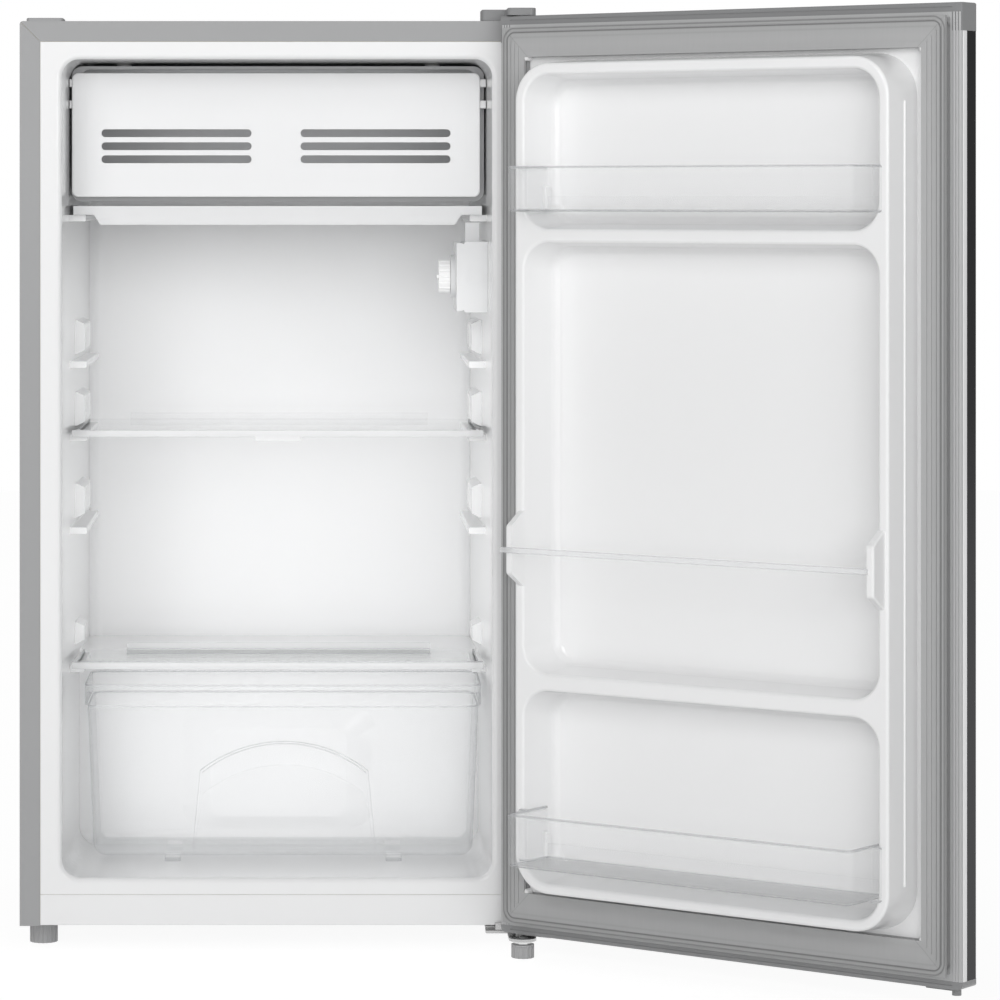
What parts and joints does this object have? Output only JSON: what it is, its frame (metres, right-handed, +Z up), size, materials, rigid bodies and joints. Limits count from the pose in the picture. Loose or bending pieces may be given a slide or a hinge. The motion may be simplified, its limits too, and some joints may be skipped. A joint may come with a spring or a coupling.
{
  "type": "mini fridge",
  "caption": "Compact under-counter refrigerator with its door open, holding a flap-fronted freezer box, glass shelves, a clear crisper drawer and door bins.",
  "frame": {"origin": "on the floor, under the middle of the cabinet's front edge", "axes": "+X to the viewer's right, +Y from the door into the cabinet, +Z up"},
  "size_m": [0.8306, 0.7476, 0.8605],
  "materials": {
    "outer_shell": "smooth silver-grey paint",
    "base_pan": "galvanised sheet",
    "back_panel": "galvanised sheet with pressed beads",
    "kick_plate": "white",
    "inner_liner": "glossy white vacuum-formed sheet",
    "cabinet_foam": "foamed insulation, out of sight",
    "evaporator_box": "grey coated roll-bond sheet",
    "evaporator_hangers": "white",
    "freezer_flap": "translucent moulding",
    "flap_hinge_lugs": "white",
    "drip_tray": "clear moulding",
    "thermostat_housing": "white",
    "thermostat_knob": "white",
    "upper_shelf_glass": "clear toughened glass",
    "upper_shelf_trims": "clear edge strips",
    "crisper_cover_glass": "clear toughened glass",
    "crisper_cover_trims": "clear edge strips",
    "crisper_drawer": "clear moulding",
    "door_outer_panel": "dark glossy stainless skin",
    "door_edge_strips": "bright edge strip",
    "door_frame": "grey",
    "door_top_cap": "grey",
    "door_bottom_cap": "grey",
    "hinge_bushes": "natural",
    "hinge_hole_plugs": "grey",
    "door_liner": "glossy white vacuum-formed sheet",
    "door_foam": "foamed insulation, out of sight",
    "door_gasket": "soft grey vinyl",
    "upper_door_bin": "clear moulding",
    "lower_door_bin": "clear moulding",
    "bottle_rail": "clear bar",
    "door_stop_plate": "plated",
    "top_hinge_bracket": "plated",
    "top_hinge_cover": "grey",
    "top_hinge_pin": "plated",
    "spare_hinge_cover": "grey",
    "bottom_hinge_bracket": "plated",
    "bottom_hinge_pin": "plated",
    "front_foot": "grey, ribbed",
    "foot_socket": "dark",
    "hinge_foot": "grey, ribbed",
    "hinge_foot_nut": "plated",
    "rear_feet": "black",
    "hinge_screws": "plated",
    "bay_plate": "galvanised",
    "compressor": "black paint",
    "compressor_carrier": "black paint",
    "compressor_grommets": "black",
    "relay_cover": "black",
    "water_pan": "black",
    "refrigerant_tubes": "copper",
    "filter_dryer": "copper",
    "drain_spout": "black"
  },
  "bodies": {
    "cabinet": {"outer_shell": "outer_shell", "base_pan": "base_pan", "back_panel": "back_panel", "kick_plate": "kick_plate", "inner_liner": "inner_liner", "cabinet_foam": "cabinet_foam", "evaporator_box": "evaporator_box", "evaporator_hangers": "evaporator_hangers", "flap_hinge_lugs": "flap_hinge_lugs", "thermostat_housing": "thermostat_housing", "top_hinge_bracket": "top_hinge_bracket", "top_hinge_cover": "top_hinge_cover", "top_hinge_pin": "top_hinge_pin", "spare_hinge_cover": "spare_hinge_cover", "bottom_hinge_bracket": "bottom_hinge_bracket", "bottom_hinge_pin": "bottom_hinge_pin", "foot_socket": "foot_socket", "hinge_foot_nut": "hinge_foot_nut", "rear_feet": "rear_feet", "hinge_screws": "hinge_screws", "bay_plate": "bay_plate", "compressor": "compressor", "compressor_carrier": "compressor_carrier", "compressor_grommets": "compressor_grommets", "relay_cover": "relay_cover", "water_pan": "water_pan", "refrigerant_tubes": "refrigerant_tubes", "filter_dryer": "filter_dryer", "drain_spout": "drain_spout"},
    "freezer_flap": {"freezer_flap": "freezer_flap"},
    "drip_tray": {"drip_tray": "drip_tray"},
    "upper_shelf": {"upper_shelf_glass": "upper_shelf_glass", "upper_shelf_trims": "upper_shelf_trims"},
    "crisper_cover": {"crisper_cover_glass": "crisper_cover_glass", "crisper_cover_trims": "crisper_cover_trims"},
    "crisper_drawer": {"crisper_drawer": "crisper_drawer"},
    "thermostat_knob": {"thermostat_knob": "thermostat_knob"},
    "door": {"door_outer_panel": "door_outer_panel", "door_edge_strips": "door_edge_strips", "door_frame": "door_frame", "door_top_cap": "door_top_cap", "door_bottom_cap": "door_bottom_cap", "hinge_bushes": "hinge_bushes", "hinge_hole_plugs": "hinge_hole_plugs", "door_liner": "door_liner", "door_foam": "door_foam", "door_gasket": "door_gasket", "bottle_rail": "bottle_rail", "door_stop_plate": "door_stop_plate"},
    "upper_door_bin": {"upper_door_bin": "upper_door_bin"},
    "lower_door_bin": {"lower_door_bin": "lower_door_bin"},
    "front_foot": {"front_foot": "front_foot"},
    "hinge_foot": {"hinge_foot": "hinge_foot"}
  },
  "joints": [
    {"name": "door_hinge", "type": "hinge", "parent": "cabinet", "child": "door", "pos_m": [0.223, -0.026, 0.435], "axis": [0, 0, 1], "range_deg": [-142.7, 17.3]},
    {"name": "freezer_flap_hinge", "type": "hinge", "parent": "cabinet", "child": "freezer_flap", "pos_m": [-0.0015, 0.086, 0.7953], "axis": [-1, 0, 0], "range_deg": [0, 90]},
    {"name": "drip_tray_slide", "type": "slide", "parent": "cabinet", "child": "drip_tray", "axis": [0, -1, 0], "range_m": [0, 0.18]},
    {"name": "upper_shelf_slide", "type": "slide", "parent": "cabinet", "child": "upper_shelf", "axis": [0, -1, 0], "range_m": [0, 0.24]},
    {"name": "crisper_cover_slide", "type": "slide", "parent": "cabinet", "child": "crisper_cover", "axis": [0, -1, 0], "range_m": [0, 0.12]},
    {"name": "crisper_slide", "type": "slide", "parent": "cabinet", "child": "crisper_drawer", "axis": [0, -1, 0], "range_m": [0, 0.12]},
    {"name": "thermostat_turn", "type": "hinge", "parent": "cabinet", "child": "thermostat_knob", "pos_m": [0.16258, 0.108, 0.614], "axis": [-1, 0, 0], "range_deg": [0, 300]},
    {"name": "upper_bin_lift", "type": "slide", "parent": "door", "child": "upper_door_bin", "axis": [0, 0, 1], "range_m": [0, 0.06]},
    {"name": "lower_bin_lift", "type": "slide", "parent": "door", "child": "lower_door_bin", "axis": [0, 0, 1], "range_m": [0, 0.06]},
    {"name": "front_foot_turn", "type": "hinge", "parent": "cabinet", "child": "front_foot", "pos_m": [-0.216, 0.036, 0.01], "axis": [0, 0, 1], "continuous": true},
    {"name": "hinge_foot_turn", "type": "hinge", "parent": "cabinet", "child": "hinge_foot", "pos_m": [0.223, -0.047, 0.01], "axis": [0, 0, 1], "continuous": true}
  ]
}
